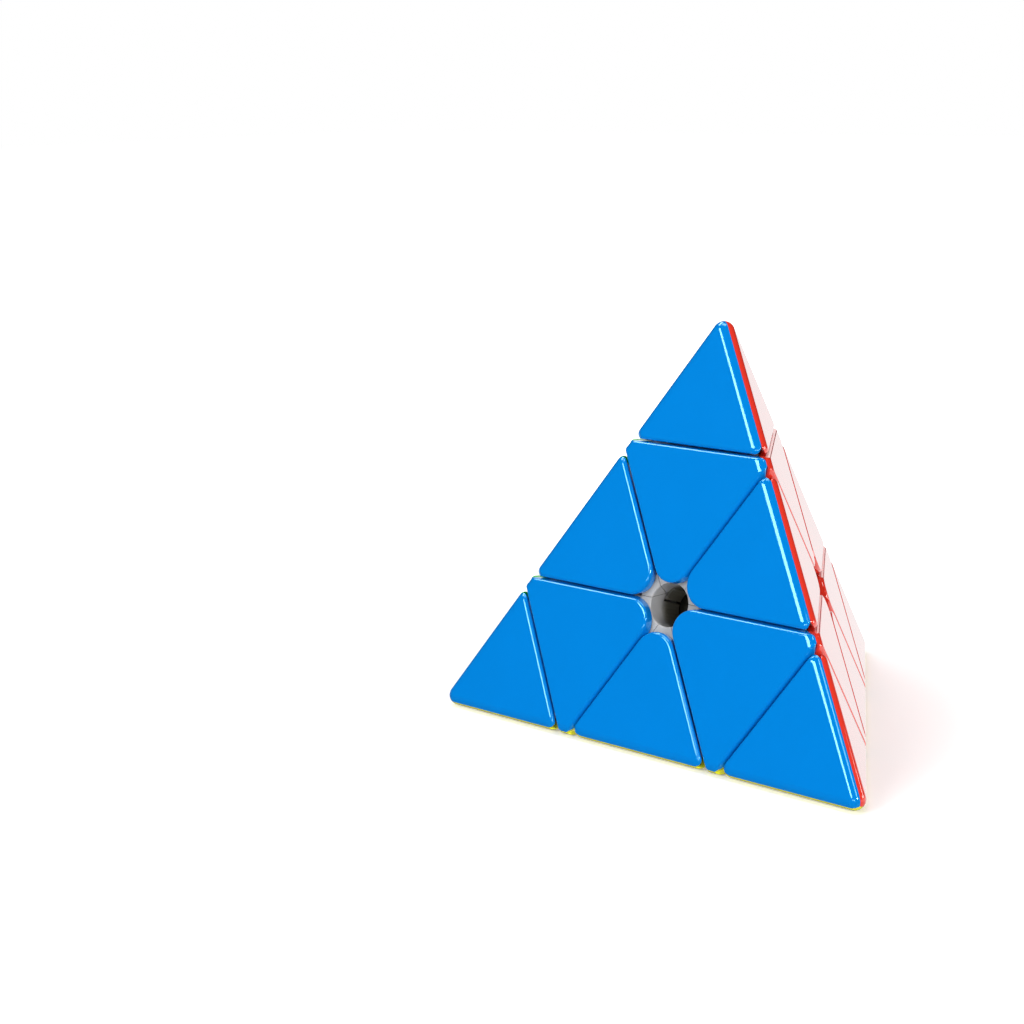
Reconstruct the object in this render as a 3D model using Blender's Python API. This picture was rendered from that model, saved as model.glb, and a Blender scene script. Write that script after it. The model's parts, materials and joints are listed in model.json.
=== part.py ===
"""Pyramid twisty puzzle.

A regular tetrahedron in four colours.  Each corner carries a small tip that turns by
itself, and under the tip a whole corner layer that turns about the same axis.  The four
axes cross at the centre of a ball core, which is the origin, with the top corner up +Z
and the front face towards -Y.

Inside, every layer is bounded by one surface of revolution about its own axis: a cone
from the centre out to the foot radius, a narrow ledge there, then a flat plane out to the
faces.  The feet of the edge pieces lie inside that ledge and the centre pieces hang over
them, so the six edge pieces are held although nothing fastens them.
"""
import math

import bmesh
import bpy
from mathutils import Matrix, Vector

# Outer form (metres)
ACROSS = 0.098            # length along one side, over the rounded corners
RIM_RADIUS = 0.0021       # rounding along the sides of the tetrahedron
RIM_FLAT = 0.0006         # short side of a centre piece between tip and edge piece
TURN_GAP = 0.0005         # gap between pieces that turn on each other
FIT_GAP = 0.0003          # gap between pieces that are fitted together
SEAM_GAP = 0.0002         # gap between two shells along a side of the tetrahedron
WELD = 2.0e-6             # points closer than this are one point

# Coloured shells
SHELL_THICK = 0.0020      # from the face down to a shell's underside
BORDER_RADIUS = 0.0007    # rounding of a shell's border along the cuts
POINT_RADIUS = 0.0014     # plan rounding of its 60 degree corners at the rim
BLUNT_RADIUS = 0.0009     # plan rounding of its 120 degree corners at the rim
CENTRE_NOSE = 0.0042      # from the middle of a face to the nose of a centre piece's shell
EDGE_NOSE = 0.0055        # the same for an edge piece's shell, which leaves a star-shaped hole
PEG_WIDTH = 0.0030        # square peg under each shell that keeps it in place on its body
PEG_LENGTH = 0.0016

# Core and feet
BALL_RADIUS = 0.0095
FOOT_RISE = 0.0028        # ledge radius beyond the line where two layer planes cross
FOOT_MARGIN = 2.0         # degrees kept between the layer cone and the face's middle
WELL_RADIUS = 0.0044      # round hole down to the core under the middle of each face
COLLAR_DEPTH = 0.0010     # of the top of the collar round that hole, below the face

# Screw, spring and post on each axis
POST_RADIUS = 0.0031
POST_TOP = 0.0145         # distance from the centre
FLANGE_THICK = 0.0016     # floor of the centre piece that the spring presses on
SHANK_RADIUS = 0.0014
SHANK_END = 0.0060        # distance from the centre
HEAD_RADIUS = 0.0032
HEAD_HEIGHT = 0.0021
SLOT_RADIUS = 0.0013      # hexagon socket in the screw's head
SLOT_DEPTH = 0.0012
SPRING_RADIUS = 0.0025    # to the middle of the wire
SPRING_LENGTH = 0.0070
SPRING_TURNS = 4
WIRE_RADIUS = 0.00042

# Tip and its snap
PLUG_RADIUS = 0.0044
PLUG_WALL = 0.0012
PLUG_BORE_RISE = 0.0040   # how far the bore goes on above the tip's cut
BEAD_HEIGHT = 0.0004      # how far the snap bead stands out
BEAD_WIDTH = 0.0012

# Facets of the round surfaces
LAYER_SIDES = 40
BALL_SIDES = 20
BORE_SIDES = 16
WELL_SIDES = 36
ARC_STEPS = 2
POINT_STEPS = 4
BLUNT_STEPS = 2
NOSE_STEPS = 6
CREST_STEPS = 4
WIRE_STEPS = 8

# What follows from the sizes above
EDGE = ACROSS + 2.0 * (math.sqrt(6.0) - 1.0) * RIM_RADIUS
FACE_DISTANCE = EDGE / math.sqrt(24.0)
CORNER_DISTANCE = 3.0 * FACE_DISTANCE
LAYER_PLANE = FACE_DISTANCE / 3.0
TIP_EDGE = EDGE / 3.0 - RIM_FLAT
TIP_PLANE = CORNER_DISTANCE - TIP_EDGE * math.sqrt(2.0 / 3.0)
FACE_HEIGHT = EDGE * math.sqrt(3.0) / 2.0
MITRE = math.asin(1.0 / math.sqrt(3.0))
LEAN = math.asin(1.0 / 3.0)
LAYER_CONE = math.acos(1.0 / 3.0) - math.radians(FOOT_MARGIN)
LEDGE_RADIUS = math.sqrt(3.0) * LAYER_PLANE + FOOT_RISE
BODY_DEPTH = SHELL_THICK + FIT_GAP
FLANGE_BOTTOM = POST_TOP + FIT_GAP
FLANGE_TOP = FLANGE_BOTTOM + FLANGE_THICK
SPRING_BOTTOM = FLANGE_TOP + FIT_GAP
SPRING_TOP = SPRING_BOTTOM + SPRING_LENGTH
HEAD_BOTTOM = SPRING_TOP + FIT_GAP
HEAD_TOP = HEAD_BOTTOM + HEAD_HEIGHT
SPRING_OUTER = SPRING_RADIUS + WIRE_RADIUS
CHAMBER_RADIUS = max(HEAD_RADIUS, SPRING_OUTER) + TURN_GAP
SOCKET_FLOOR = HEAD_TOP + 2.0 * TURN_GAP
PLUG_END = SOCKET_FLOOR + TURN_GAP
PLUG_BORE = PLUG_RADIUS - PLUG_WALL
BEAD_AT = PLUG_END + 1.5 * BEAD_WIDTH
FAR = 2.0 * EDGE

PEG_BETWEEN = {"tip": ("corner", "tip left", "tip right"),
               "centre": ("tip left", "tip right", "middle"),
               "edge": ("cut right", "middle", "low right")}
CORNERS = ("top", "left", "right", "back")
EDGE_CARRIERS = {("top", "left"): "top", ("top", "right"): "top", ("top", "back"): "top",
                 ("left", "right"): "left", ("right", "back"): "right",
                 ("back", "left"): "back"}
FACE_OPPOSITE = {"front": "back", "side": "left", "rear": "right", "base": "top"}
FACE_COLOUR = {"front": "blue", "side": "red", "rear": "green", "base": "yellow"}
COLOURS = {
    "blue": ((0.002, 0.246, 0.768), 0.16, 0.0),
    "red": ((0.890, 0.052, 0.036), 0.16, 0.0),
    "green": ((0.020, 0.450, 0.060), 0.16, 0.0),
    "yellow": ((0.910, 0.810, 0.045), 0.16, 0.0),
    "light grey": ((0.330, 0.325, 0.315), 0.32, 0.0),
    "dark grey": ((0.085, 0.084, 0.078), 0.38, 0.0),
    "steel": ((0.560, 0.555, 0.545), 0.28, 1.0),
}


def clear_scene():
    """Remove whatever objects the open file holds."""
    for thing in list(bpy.data.objects):
        bpy.data.objects.remove(thing, do_unlink=True)


def corner_axes():
    """Unit vectors from the centre to the four corners."""
    axes = {"top": Vector((0.0, 0.0, 1.0))}
    reach = math.sqrt(8.0) / 3.0
    for name, angle in (("left", -150.0), ("right", -30.0), ("back", 90.0)):
        turn = math.radians(angle)
        axes[name] = Vector((reach * math.cos(turn), reach * math.sin(turn), -1.0 / 3.0))
    return axes


AXES = corner_axes()


def columns(names):
    """Matrix whose columns are the axes of three corners."""
    return Matrix([AXES[name] for name in names]).transposed()


def carry(top_to, back_to):
    """Rotation of the tetrahedron onto itself that moves two of its corners as named."""
    rest = [name for name in CORNERS if name not in (top_to, back_to)]
    for pair in (rest, rest[::-1]):
        turn = columns((top_to, pair[0], back_to)) @ columns(("top", "left", "back")).inverted()
        if turn.determinant() > 0.0:
            return turn.to_4x4()
    raise ValueError("no rotation carries those corners")


def image_of(turn, name):
    """Corner onto which a rotation moves the named corner."""
    moved = turn.to_3x3() @ AXES[name]
    return max(CORNERS, key=lambda other: moved.dot(AXES[other]))


def material(name):
    """Plastic or metal of one colour."""
    found = bpy.data.materials.get(name)
    if found:
        return found
    colour, roughness, metallic = COLOURS[name]
    made = bpy.data.materials.new(name)
    made.use_nodes = True
    shader = made.node_tree.nodes["Principled BSDF"]
    shader.inputs["Base Color"].default_value = (*colour, 1.0)
    shader.inputs["Roughness"].default_value = roughness
    shader.inputs["Metallic"].default_value = metallic
    made.diffuse_color = (*colour, 1.0)
    return made


def mesh_from(bm, name):
    """Turn a bmesh into a mesh with outward faces."""
    bmesh.ops.recalc_face_normals(bm, faces=bm.faces)
    mesh = bpy.data.meshes.new(name)
    bm.to_mesh(mesh)
    bm.free()
    return mesh


def smooth(mesh, degrees=35.0):
    """Shade a mesh smooth across its gentle edges."""
    mesh.shade_smooth()
    mesh.set_sharp_from_angle(angle=math.radians(degrees))


def tidy(mesh):
    """Weld the near-double points that a Boolean leaves where facets almost meet."""
    bm = bmesh.new()
    bm.from_mesh(mesh)
    bmesh.ops.remove_doubles(bm, verts=bm.verts, dist=WELD)
    bmesh.ops.dissolve_degenerate(bm, edges=bm.edges, dist=WELD)
    bm.to_mesh(mesh)
    bm.free()


def combine(base, tools, operation):
    """Mesh of a base mesh after one exact Boolean with each of the tool meshes in turn."""
    for tool in tools:
        work = bpy.data.objects.new("work", base)
        helper = bpy.data.objects.new("tool", tool)
        for thing in (work, helper):
            bpy.context.collection.objects.link(thing)
        helper.hide_render = True
        helper.display_type = "WIRE"
        cut = work.modifiers.new("cut", "BOOLEAN")
        cut.operation = operation
        cut.solver = "EXACT"
        cut.object = helper
        graph = bpy.context.evaluated_depsgraph_get()
        base = bpy.data.meshes.new_from_object(work.evaluated_get(graph))
        for thing in (work, helper):
            bpy.data.objects.remove(thing, do_unlink=True)
        tidy(base)
    return base


def moved(mesh, matrix):
    """Copy of a mesh under a rotation."""
    other = mesh.copy()
    other.transform(matrix)
    return other


def turned(profile, sides, name):
    """Solid of revolution about Z from (radius, height) points, bottom to top."""
    bm = bmesh.new()
    points = [bm.verts.new((radius, 0.0, height)) for radius, height in profile]
    lines = [bm.edges.new(pair) for pair in zip(points, points[1:])]
    bmesh.ops.spin(bm, geom=points + lines, cent=(0.0, 0.0, 0.0), axis=(0.0, 0.0, 1.0),
                   angle=2.0 * math.pi, steps=sides, use_merge=True, use_duplicate=False)
    bmesh.ops.remove_doubles(bm, verts=bm.verts, dist=1.0e-7)
    return mesh_from(bm, name)


# ---------------------------------------------------------------- coloured shells

def face_frame():
    """Matrix of the front face: origin at its middle, Y to the top corner, Z outwards."""
    out = -AXES["back"]
    up = (AXES["top"] * CORNER_DISTANCE - out * FACE_DISTANCE).normalized()
    right = up.cross(out)
    frame = Matrix((right, up, out)).transposed().to_4x4()
    frame.translation = out * FACE_DISTANCE
    return frame


def plan_points():
    """Named points of the front face in its own plane."""
    top = Vector((0.0, FACE_HEIGHT * 2.0 / 3.0))
    left = Vector((-EDGE / 2.0, -FACE_HEIGHT / 3.0))
    right = Vector((EDGE / 2.0, -FACE_HEIGHT / 3.0))
    to_left = (left - top).normalized()
    to_right = (right - top).normalized()
    return {
        "corner": top,
        "tip left": top + to_left * TIP_EDGE,
        "tip right": top + to_right * TIP_EDGE,
        "cut left": top + to_left * EDGE / 3.0,
        "cut right": top + to_right * EDGE / 3.0,
        "low right": top + to_right * EDGE * 2.0 / 3.0,
        "middle": Vector((0.0, 0.0)),
    }


def cut_levels(lean):
    """(inset, depth) up a shell's wall along a cut, and over its rounded border.

    The wall keeps to the cut, which leans from the face's normal: inwards with depth on
    the side towards the corner that turns, outwards on the other side.
    """
    start = TURN_GAP / 2.0 / math.cos(lean)
    sweep = math.pi / 2.0 + lean
    crown = start + BORDER_RADIUS * math.tan(sweep / 2.0)
    levels = [(start + SHELL_THICK * math.tan(lean), SHELL_THICK)]
    for step in range(ARC_STEPS, -1, -1):
        angle = sweep * step / ARC_STEPS
        levels.append((crown - BORDER_RADIUS * math.sin(angle),
                       BORDER_RADIUS * (1.0 - math.cos(angle))))
    return levels


def seam_lean():
    """Angle round the rim, from the face's own direction, at which its shell ends."""
    return math.pi / 2.0 - MITRE - math.asin(SEAM_GAP / 2.0 / RIM_RADIUS)


def rim_levels():
    """(inset, depth) up a shell's mitred wall at the rim, and over the rim's rounding."""
    levels = [(SHELL_THICK / math.tan(MITRE) + SEAM_GAP / 2.0 / math.sin(MITRE), SHELL_THICK)]
    for step in range(ARC_STEPS, -1, -1):
        lean = seam_lean() * step / ARC_STEPS
        levels.append((RIM_RADIUS * (1.0 / math.tan(MITRE) - math.sin(lean)),
                       RIM_RADIUS * (1.0 - math.cos(lean))))
    return levels


LEVELS = {"in": cut_levels(LEAN), "out": cut_levels(-LEAN), "rim": rim_levels()}


def inward(a, b):
    """Unit normal to the left of the line from a to b."""
    along = (b - a).normalized()
    return Vector((-along.y, along.x))


def inset_corner(before, here, after, inset_before, inset_after):
    """Where two sides of an outline cross after each has moved inwards."""
    one = inward(before, here)
    two = inward(here, after)
    first = here + one * inset_before
    along_one = (here - before).normalized()
    along_two = (after - here).normalized()
    gap = here + two * inset_after - first
    reach = (gap.x * along_two.y - gap.y * along_two.x) / \
            (along_one.x * along_two.y - along_one.y * along_two.x)
    return first + along_one * reach


def corner_radius(corner, kinds, half, level):
    """Plan radius of a shell's corner at one level."""
    shape, size, steps = corner
    cut = kinds[0] if kinds[0] != "rim" else kinds[1]
    if shape == "round":
        start = TURN_GAP / 2.0 / math.cos(LEAN)
        rounded = max(0.0, LEVELS[cut][level][0] - start) if level > 1 else 0.0
        return size - rounded
    rise = (ARC_STEPS + 1 - level) / ARC_STEPS if level else 1.0
    reach = size + BORDER_RADIUS * (1.0 - math.sin(math.pi / 2.0 * rise))
    return (reach - LEVELS[cut][level][0] / math.sin(half)) / (1.0 / math.sin(half) - 1.0)


def round_corner(before, here, after, kinds, corner, level):
    """Points of one rounded corner of a shell's outline at one level."""
    inset_one, depth_one = LEVELS[kinds[0]][level]
    inset_two, depth_two = LEVELS[kinds[1]][level]
    sharp = inset_corner(before, here, after, inset_one, inset_two)
    back = (before - here).normalized()
    ahead = (after - here).normalized()
    half = back.angle(ahead) / 2.0
    radius = corner_radius(corner, kinds, half, level)
    centre = sharp + (back + ahead).normalized() * radius / math.sin(half)
    start = -inward(before, here)
    sweep = math.pi - 2.0 * half
    steps = corner[2]
    points = []
    for step in range(steps + 1):
        share = step / steps
        spoke = start.copy()
        spoke.rotate(Matrix.Rotation(sweep * share, 2))
        flat = centre + spoke * radius
        points.append(Vector((flat.x, flat.y, -(depth_one + (depth_two - depth_one) * share))))
    return points


def crest_corner(level):
    """Points of a tip shell's corner, which is part of a ball, at one level."""
    corner = plan_points()["corner"]
    inset, depth = LEVELS["rim"][level]
    over = Vector((0.0, 0.0, 1.0))
    ball = Vector((0.0, corner.y - RIM_RADIUS / math.tan(MITRE) * 2.0, -RIM_RADIUS))
    reach = math.sqrt(RIM_RADIUS ** 2 - (SEAM_GAP / 2.0) ** 2)
    crest = math.acos(SEAM_GAP / 2.0 * math.sin(MITRE) / reach) - MITRE
    points = []
    for step in range(CREST_STEPS + 1):
        share = 2.0 * step / CREST_STEPS - 1.0
        hand = math.copysign(1.0, share)
        down = Vector((hand * 0.5, -math.cos(math.radians(30.0)), 0.0))
        if level == 0:
            flat = corner.to_3d() + down * (abs(share) * RIM_RADIUS)
            points.append(flat - Vector((0.0, inset * 2.0, depth)))
            continue
        side = Vector((hand * math.cos(math.radians(30.0)), 0.5, 0.0))
        seam = (over * math.cos(MITRE) - side * math.sin(MITRE)) * (SEAM_GAP / 2.0)
        turn = crest * (1.0 - abs(share))
        out = over * math.sin(MITRE) + side * math.cos(MITRE)
        seam += (out * math.cos(turn) - down * math.sin(turn)) * reach
        share_up = 1.0 - (level - 1) / ARC_STEPS
        points.append(ball + over.slerp(seam.normalized(), share_up) * RIM_RADIUS)
    return points[::-1]


def shell(outline, kinds, corners, name):
    """Loft one coloured shell through its levels, underside first."""
    bm = bmesh.new()
    count = len(outline)
    rings = []
    for level in range(len(LEVELS["rim"])):
        ring = []
        for i, (here, corner) in enumerate(zip(outline, corners)):
            if corner == "crest":
                ring += crest_corner(level)
                continue
            ring += round_corner(outline[i - 1], here, outline[(i + 1) % count],
                                 (kinds[i - 1], kinds[i]), corner, level)
        rings.append([bm.verts.new(point) for point in ring])
    bm.faces.new(rings[0][::-1])
    for low, high in zip(rings, rings[1:]):
        for i in range(len(low)):
            j = (i + 1) % len(low)
            ends = [low[i], low[j], high[j], high[i]]
            bm.faces.new(ends)
    bm.faces.new(rings[-1])
    bmesh.ops.remove_doubles(bm, verts=bm.verts, dist=1.0e-7)
    mesh = mesh_from(bm, name)
    mesh.transform(face_frame())
    return mesh


def shell_meshes():
    """The three shells of the front face: top tip, top centre piece, top right edge."""
    at = plan_points()
    point = ("round", POINT_RADIUS, POINT_STEPS)
    blunt = ("round", BLUNT_RADIUS, BLUNT_STEPS)
    centre_nose = ("nose", CENTRE_NOSE, NOSE_STEPS)
    edge_nose = ("nose", EDGE_NOSE, NOSE_STEPS)
    plain = {
        "tip": shell([at["corner"], at["tip left"], at["tip right"]],
                     ("rim", "in", "rim"), ("crest", point, point), "tip shell"),
        "centre": shell([at["tip left"], at["cut left"], at["middle"], at["cut right"],
                         at["tip right"]], ("rim", "out", "out", "rim", "out"),
                        (blunt, blunt, centre_nose, blunt, blunt), "centre shell"),
        "edge": shell([at["cut right"], at["middle"], at["low right"]],
                      ("in", "in", "rim"), (point, edge_nose, point), "edge shell"),
    }
    pegged = {}
    for kind, mesh in plain.items():
        pegged[kind] = combine(mesh, [peg(kind, SHELL_THICK / 2.0, 0.0)], "UNION")
        smooth(pegged[kind])
    return pegged


def peg(kind, top_depth, clearance):
    """Square peg under a shell of the front face, or with a clearance the pocket for it."""
    at = plan_points()
    spot = sum((at[point] for point in PEG_BETWEEN[kind]), Vector((0.0, 0.0))) / 3.0
    depth = BODY_DEPTH + PEG_LENGTH + clearance
    width = PEG_WIDTH + 2.0 * clearance
    size = Matrix.Diagonal((width, width, depth - top_depth, 1.0))
    lift = Matrix.Translation((spot.x, spot.y, -(depth + top_depth) / 2.0))
    bm = bmesh.new()
    bmesh.ops.create_cube(bm, size=1.0, matrix=face_frame() @ lift @ size)
    return mesh_from(bm, "peg")


# ---------------------------------------------------------------- inner bodies

def block(depth, low=None, high=None):
    """Tetrahedron set in from the faces by a depth, cut off flat below or above."""
    bm = bmesh.new()
    reach = CORNER_DISTANCE - 3.0 * depth
    for name in CORNERS:
        bm.verts.new(AXES[name] * reach)
    bmesh.ops.convex_hull(bm, input=bm.verts)
    for height, side in ((low, -1.0), (high, 1.0)):
        if height is None:
            continue
        cut = bmesh.ops.bisect_plane(bm, geom=bm.verts[:] + bm.edges[:] + bm.faces[:],
                                     plane_co=(0.0, 0.0, height), plane_no=(0.0, 0.0, side),
                                     clear_outer=True)
        border = [item for item in cut["geom_cut"] if isinstance(item, bmesh.types.BMEdge)]
        bmesh.ops.edgeloop_fill(bm, edges=border)
    return mesh_from(bm, "block")


def layer_solid(grow):
    """Everything on the top corner's side of its layer boundary, moved out by grow."""
    plane = LAYER_PLANE - grow
    ledge = LEDGE_RADIUS + grow
    apex = -grow / math.sin(LAYER_CONE)
    slope_r = math.sin(LAYER_CONE)
    slope_z = math.cos(LAYER_CONE)
    run = -apex * slope_z + math.sqrt((apex * slope_z) ** 2 + ledge ** 2 - apex ** 2)
    profile = [(0.0, apex), (run * slope_r, apex + run * slope_z),
               (math.sqrt(ledge ** 2 - plane ** 2), plane), (FAR, plane), (FAR, FAR), (0.0, FAR)]
    return turned(profile, LAYER_SIDES, "layer")


def ball(radius):
    """Ball about the centre."""
    bm = bmesh.new()
    bmesh.ops.create_uvsphere(bm, u_segments=BALL_SIDES, v_segments=BALL_SIDES // 2, radius=radius)
    return mesh_from(bm, "ball")


def to_face(mesh):
    """A solid of revolution about Z, turned so that its axis is the front face's."""
    turn = Vector((0.0, 0.0, 1.0)).rotation_difference(-AXES["back"])
    mesh.transform(turn.to_matrix().to_4x4())
    return mesh


def well():
    """Round hole under the middle of the front face, from inside the core to beyond the face."""
    profile = [(0.0, BALL_RADIUS / 2.0), (WELL_RADIUS, BALL_RADIUS / 2.0), (WELL_RADIUS, FAR),
               (0.0, FAR)]
    return to_face(turned(profile, WELL_SIDES, "well"))


def collar():
    """Disc on the front face's block that leaves a collar round the well."""
    low = FACE_DISTANCE - BODY_DEPTH - PEG_LENGTH
    radius = EDGE_NOSE - FIT_GAP
    profile = [(0.0, low), (radius, low), (radius, FACE_DISTANCE - COLLAR_DEPTH),
               (0.0, FACE_DISTANCE - COLLAR_DEPTH)]
    return to_face(turned(profile, WELL_SIDES, "collar"))


def pocket(kind):
    """Pocket in a body for the peg of its shell on the front face."""
    return peg(kind, 0.0, FIT_GAP)


def around_top(tool):
    """A tool of the front face, repeated on the three faces that meet at the top corner."""
    return [moved(tool, carry("top", across)) for across in CORNERS[1:]]


def edge_turn(pair, across):
    """Rotation that carries the front face's top right edge onto a pair's edge of a face."""
    turns = [carry(first, across) for first in pair]
    return next(turn for turn in turns if image_of(turn, "right") in pair)


def tip_body():
    """Solid tip under its shells, with a hollow plug that snaps into the centre piece."""
    bead = PLUG_RADIUS + BEAD_HEIGHT
    low = TIP_PLANE + TURN_GAP / 2.0
    plug = turned([(0.0, PLUG_END), (PLUG_RADIUS - BEAD_HEIGHT, PLUG_END),
                   (PLUG_RADIUS, PLUG_END + BEAD_HEIGHT), (PLUG_RADIUS, BEAD_AT - BEAD_WIDTH / 2.0),
                   (bead, BEAD_AT), (PLUG_RADIUS, BEAD_AT + BEAD_WIDTH / 2.0),
                   (PLUG_RADIUS, low + PLUG_WALL), (0.0, low + PLUG_WALL)], BORE_SIDES, "plug")
    bore = turned([(0.0, PLUG_END - PLUG_WALL), (PLUG_BORE, PLUG_END - PLUG_WALL),
                   (PLUG_BORE, low + PLUG_BORE_RISE), (0.0, low + PLUG_BORE_RISE + PLUG_BORE)],
                  BORE_SIDES, "bore")
    whole = combine(block(BODY_DEPTH, low=low), [plug], "UNION")
    return combine(whole, [bore] + around_top(pocket("tip")), "DIFFERENCE")


def centre_bore():
    """What is bored out of a centre piece along its axis, from the ball to the tip."""
    high = TIP_PLANE + PLUG_WALL
    socket = PLUG_RADIUS + FIT_GAP
    groove = socket + BEAD_HEIGHT
    profile = [(0.0, 0.0), (POST_RADIUS + FIT_GAP, 0.0), (POST_RADIUS + FIT_GAP, FLANGE_BOTTOM),
               (SHANK_RADIUS + FIT_GAP, FLANGE_BOTTOM), (SHANK_RADIUS + FIT_GAP, FLANGE_TOP),
               (CHAMBER_RADIUS, FLANGE_TOP), (CHAMBER_RADIUS, SOCKET_FLOOR),
               (socket, SOCKET_FLOOR), (socket, BEAD_AT - BEAD_WIDTH / 2.0),
               (groove, BEAD_AT), (socket, BEAD_AT + BEAD_WIDTH / 2.0), (socket, high), (0.0, high)]
    return turned(profile, BORE_SIDES, "bore")


def centre_body():
    """Centre piece of the top corner, hanging over the feet of its three edge pieces."""
    base = combine(block(BODY_DEPTH, high=TIP_PLANE - TURN_GAP / 2.0),
                   [layer_solid(-TURN_GAP / 2.0)], "INTERSECT")
    grown = layer_solid(TURN_GAP / 2.0)
    others = [moved(grown, carry(name, "top")) for name in CORNERS[1:]]
    tools = others + [ball(BALL_RADIUS + TURN_GAP)] + around_top(well()) + [centre_bore()]
    return combine(base, tools + around_top(pocket("centre")), "DIFFERENCE")


def edge_body():
    """Edge piece between the top and right corners, with its foot under the ledges."""
    shrunk = layer_solid(-TURN_GAP / 2.0)
    turns = [edge_turn(("top", "right"), across) for across in ("back", "left")]
    base = combine(block(BODY_DEPTH), [moved(collar(), turn) for turn in turns], "UNION")
    base = combine(base, [shrunk, moved(shrunk, carry("right", "top"))], "INTERSECT")
    tools = [moved(tool, turn) for tool in (well(), pocket("edge")) for turn in turns]
    return combine(base, tools + [ball(BALL_RADIUS + TURN_GAP)], "DIFFERENCE")


def core_body():
    """Ball with a post for the screw along each of the four axes."""
    post = turned([(0.0, BALL_RADIUS / 2.0), (POST_RADIUS, BALL_RADIUS / 2.0),
                   (POST_RADIUS, POST_TOP), (0.0, POST_TOP)], BORE_SIDES, "post")
    end = SHANK_END - FIT_GAP
    hole = turned([(0.0, end), (SHANK_RADIUS + FIT_GAP, end),
                   (SHANK_RADIUS + FIT_GAP, FAR), (0.0, FAR)], BORE_SIDES, "hole")
    turns = [carry(name, next(other for other in CORNERS if other != name)) for name in CORNERS]
    whole = combine(ball(BALL_RADIUS), [moved(post, turn) for turn in turns], "UNION")
    return combine(whole, [moved(hole, turn) for turn in turns], "DIFFERENCE")


def screw_body():
    """Screw on the top axis, with a hexagon socket in its head."""
    rod = turned([(0.0, SHANK_END), (SHANK_RADIUS - FIT_GAP, SHANK_END),
                  (SHANK_RADIUS, SHANK_END + FIT_GAP), (SHANK_RADIUS, HEAD_BOTTOM),
                  (HEAD_RADIUS, HEAD_BOTTOM), (HEAD_RADIUS, HEAD_TOP - FIT_GAP),
                  (HEAD_RADIUS - FIT_GAP, HEAD_TOP), (0.0, HEAD_TOP)], BORE_SIDES // 2, "screw")
    socket = turned([(0.0, HEAD_TOP - SLOT_DEPTH), (SLOT_RADIUS, HEAD_TOP - SLOT_DEPTH),
                     (SLOT_RADIUS, FAR), (0.0, FAR)], 6, "socket")
    return combine(rod, [socket], "DIFFERENCE")


def spring_body():
    """Coil spring on the top axis, a wire swept along a helix."""
    curve = bpy.data.curves.new("spring", "CURVE")
    curve.dimensions = "3D"
    curve.bevel_depth = WIRE_RADIUS
    curve.bevel_resolution = 1
    curve.use_fill_caps = True
    count = SPRING_TURNS * WIRE_STEPS + 1
    line = curve.splines.new("POLY")
    line.points.add(count - 1)
    rise = SPRING_LENGTH - 2.0 * WIRE_RADIUS
    for i, point in enumerate(line.points):
        turn = 2.0 * math.pi * i / WIRE_STEPS
        height = SPRING_BOTTOM + WIRE_RADIUS + rise * i / (count - 1)
        point.co = (SPRING_RADIUS * math.cos(turn), SPRING_RADIUS * math.sin(turn), height, 1.0)
    holder = bpy.data.objects.new("spring", curve)
    bpy.context.collection.objects.link(holder)
    graph = bpy.context.evaluated_depsgraph_get()
    mesh = bpy.data.meshes.new_from_object(holder.evaluated_get(graph))
    bpy.data.objects.remove(holder, do_unlink=True)
    bm = bmesh.new()
    bm.from_mesh(mesh)
    bmesh.ops.remove_doubles(bm, verts=bm.verts, dist=1.0e-6)
    return mesh_from(bm, "spring")


# ---------------------------------------------------------------- assembly

def pivot(name, corner, parent=None):
    """Empty at the centre whose Z runs along a corner's axis."""
    empty = bpy.data.objects.new(name, None)
    bpy.context.collection.objects.link(empty)
    empty.empty_display_size = BALL_RADIUS
    world = AXES["top"].rotation_difference(AXES[corner]).to_matrix().to_4x4()
    hold(empty, parent, world)
    return empty


def hold(thing, parent, world):
    """Parent an object and leave it where the world matrix puts it."""
    if parent is None:
        thing.matrix_world = world
        return
    bpy.context.view_layer.update()
    thing.parent = parent
    thing.matrix_basis = parent.matrix_world.inverted() @ world


def place(name, mesh, colour, parent, world):
    """One named piece with its own material, carried by a pivot."""
    own = mesh.copy()
    own.name = name
    own.materials.clear()
    own.materials.append(material(colour))
    thing = bpy.data.objects.new(name, own)
    bpy.context.collection.objects.link(thing)
    hold(thing, parent, world)
    return thing


def faces_beside(*corners):
    """Faces that touch all the named corners."""
    return [face for face, across in FACE_OPPOSITE.items() if across not in corners]


def build():
    """Make every piece and hang it on the pivot of the body that it turns with."""
    clear_scene()
    shells = shell_meshes()
    bodies = {"tip": tip_body(), "centre": centre_body(), "edge": edge_body(),
              "screw": screw_body(), "spring": spring_body()}
    for mesh in bodies.values():
        smooth(mesh)
    core = core_body()
    smooth(core)
    still = pivot("still", "top")
    place("core", core, "dark grey", still, Matrix.Identity(4))
    centres = {}
    for name in CORNERS:
        across = "left" if name != "left" else "right"
        turn = carry(name, across)
        centres[name] = pivot("layer_" + name, name, still)
        tips = pivot("cap_" + name, name, centres[name])
        place("screw_" + name, bodies["screw"], "steel", still, turn)
        place("spring_" + name, bodies["spring"], "steel", still, turn)
        place("centre_" + name, bodies["centre"], "light grey", centres[name], turn)
        place("tip_" + name, bodies["tip"], "light grey", tips, turn)
        for face in faces_beside(name):
            colour = FACE_COLOUR[face]
            turn_face = carry(name, FACE_OPPOSITE[face])
            place("centre_" + name + "_" + colour, shells["centre"], colour, centres[name], turn_face)
            place("tip_" + name + "_" + colour, shells["tip"], colour, tips, turn_face)
    for pair, carrier in EDGE_CARRIERS.items():
        other = pair[0] if pair[1] == carrier else pair[1]
        name = "edge_" + pair[0] + "_" + pair[1]
        rider = pivot("rider_" + name, other, centres[carrier])
        make_edge(name, pair, bodies["edge"], shells["edge"], rider)
    bpy.context.view_layer.update()


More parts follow.
